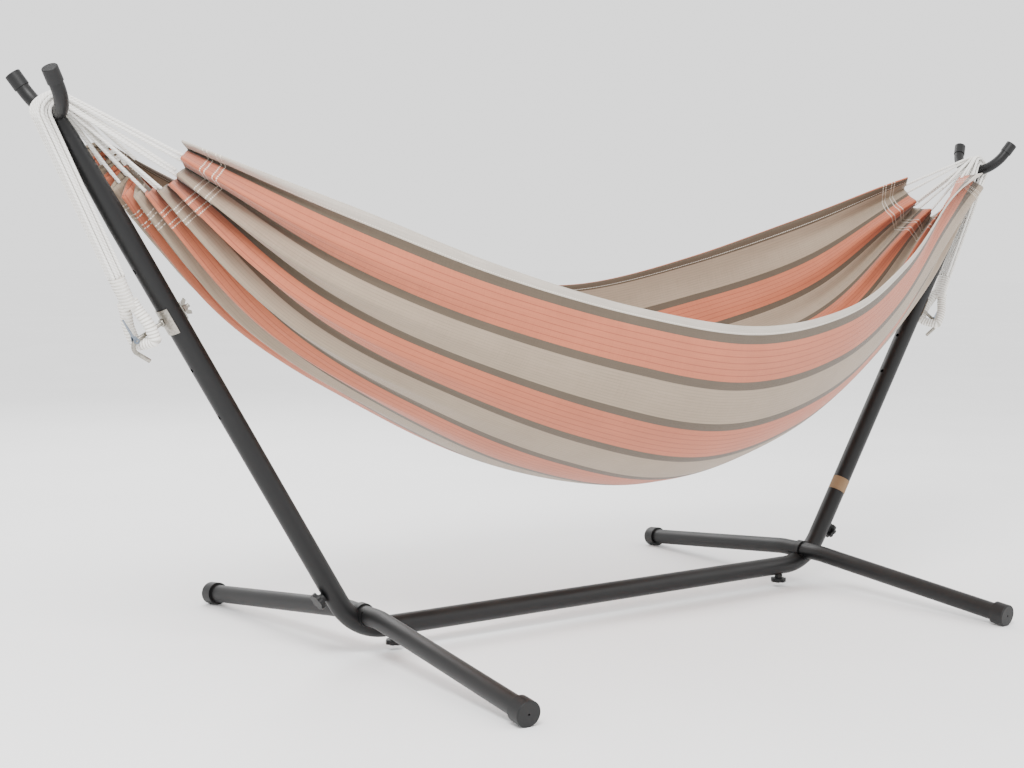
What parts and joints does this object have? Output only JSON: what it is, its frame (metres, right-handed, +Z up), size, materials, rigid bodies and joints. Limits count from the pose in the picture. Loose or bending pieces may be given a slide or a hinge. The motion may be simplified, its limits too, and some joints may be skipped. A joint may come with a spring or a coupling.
{
  "type": "hammock on stand",
  "caption": "Striped cloth hammock slung by white end strings over forked uprights of a knock-down steel tube stand with splayed cross legs.",
  "frame": {"origin": "on the floor under the middle of the ground beam", "axes": "+X along the ground beam towards the end with the paper sleeve, +Z up"},
  "size_m": [2.6034, 1.1816, 1.1037],
  "materials": {
    "painted_steel": "satin powder coat",
    "zinc_steel": "bright zinc plate",
    "black_plastic": "moulded, fine grain",
    "striped_cotton": "woven stripes",
    "white_cord": "twisted cord",
    "kraft_paper": "uncoated paper"
  },
  "bodies": {
    "stand": {"beam": "painted_steel", "paper_band": "kraft_paper", "weld_nuts": "zinc_steel", "left_elbow": "painted_steel", "left_upright": "painted_steel", "left_fork": "painted_steel", "left_leg_spigot": "painted_steel", "left_leg_saddle": "painted_steel", "left_leg_strap": "painted_steel", "left_front_leg": "painted_steel", "left_back_leg": "painted_steel", "left_hook_bolt": "zinc_steel", "left_latch_pin": "zinc_steel", "left_outer_plate": "zinc_steel", "left_inner_washer": "zinc_steel", "left_front_foot": "black_plastic", "left_back_foot": "black_plastic", "left_front_fork_cap": "black_plastic", "left_back_fork_cap": "black_plastic", "left_rope_loop": "white_cord", "left_rope_neck": "white_cord", "left_fork_strings": "white_cord", "right_elbow": "painted_steel", "right_upright": "painted_steel", "right_fork": "painted_steel", "right_leg_spigot": "painted_steel", "right_leg_saddle": "painted_steel", "right_leg_strap": "painted_steel", "right_front_leg": "painted_steel", "right_back_leg": "painted_steel", "right_hook_bolt": "zinc_steel", "right_latch_pin": "zinc_steel", "right_outer_plate": "zinc_steel", "right_inner_washer": "zinc_steel", "right_front_foot": "black_plastic", "right_back_foot": "black_plastic", "right_front_fork_cap": "black_plastic", "right_back_fork_cap": "black_plastic", "right_rope_loop": "white_cord", "right_rope_neck": "white_cord", "right_fork_strings": "white_cord"},
    "hammock": {"fabric_bed": "striped_cotton", "left_bed_strings": "white_cord", "right_bed_strings": "white_cord"},
    "left_beam_knob": {"left_beam_knob": "black_plastic", "left_beam_screw": "zinc_steel"},
    "left_upright_knob": {"left_upright_knob": "black_plastic", "left_upright_screw": "zinc_steel"},
    "left_wing_nut": {"left_wing_nut": "zinc_steel"},
    "left_latch": {"left_hook_latch": "zinc_steel"},
    "right_beam_knob": {"right_beam_knob": "black_plastic", "right_beam_screw": "zinc_steel"},
    "right_upright_knob": {"right_upright_knob": "black_plastic", "right_upright_screw": "zinc_steel"},
    "right_wing_nut": {"right_wing_nut": "zinc_steel"},
    "right_latch": {"right_hook_latch": "zinc_steel"}
  },
  "joints": [
    {"name": "hammock_swing", "type": "hinge", "parent": "stand", "child": "hammock", "pos_m": [0, 0, 1.0381], "axis": [1, 0, 0], "range_deg": [-10, 10]},
    {"name": "left_beam_knob_turn", "type": "hinge", "parent": "stand", "child": "left_beam_knob", "pos_m": [-0.55, 0, 0.02], "axis": [0, 0, -1], "continuous": true},
    {"name": "left_upright_knob_turn", "type": "hinge", "parent": "stand", "child": "left_upright_knob", "pos_m": [-0.72312, 0, 0.12102], "axis": [-0.8508, 0, -0.5255], "continuous": true},
    {"name": "left_wing_nut_turn", "type": "hinge", "parent": "stand", "child": "left_wing_nut", "pos_m": [-1.00627, 0, 0.69366], "axis": [0.8508, 0, 0.5255], "continuous": true},
    {"name": "left_latch_swing", "type": "hinge", "parent": "stand", "child": "left_latch", "pos_m": [-1.10241, 0, 0.63428], "axis": [0, 1, 0], "range_deg": [0, 45], "stiffness_Nm_per_rad": 0.05},
    {"name": "right_beam_knob_turn", "type": "hinge", "parent": "stand", "child": "right_beam_knob", "pos_m": [0.55, 0, 0.02], "axis": [0, 0, -1], "continuous": true},
    {"name": "right_upright_knob_turn", "type": "hinge", "parent": "stand", "child": "right_upright_knob", "pos_m": [0.72312, 0, 0.12102], "axis": [0.8508, 0, -0.5255], "continuous": true},
    {"name": "right_wing_nut_turn", "type": "hinge", "parent": "stand", "child": "right_wing_nut", "pos_m": [1.00627, 0, 0.69366], "axis": [-0.8508, 0, 0.5255], "continuous": true},
    {"name": "right_latch_swing", "type": "hinge", "parent": "stand", "child": "right_latch", "pos_m": [1.10241, 0, 0.63428], "axis": [0, -1, 0], "range_deg": [0, 45], "stiffness_Nm_per_rad": 0.05}
  ]
}
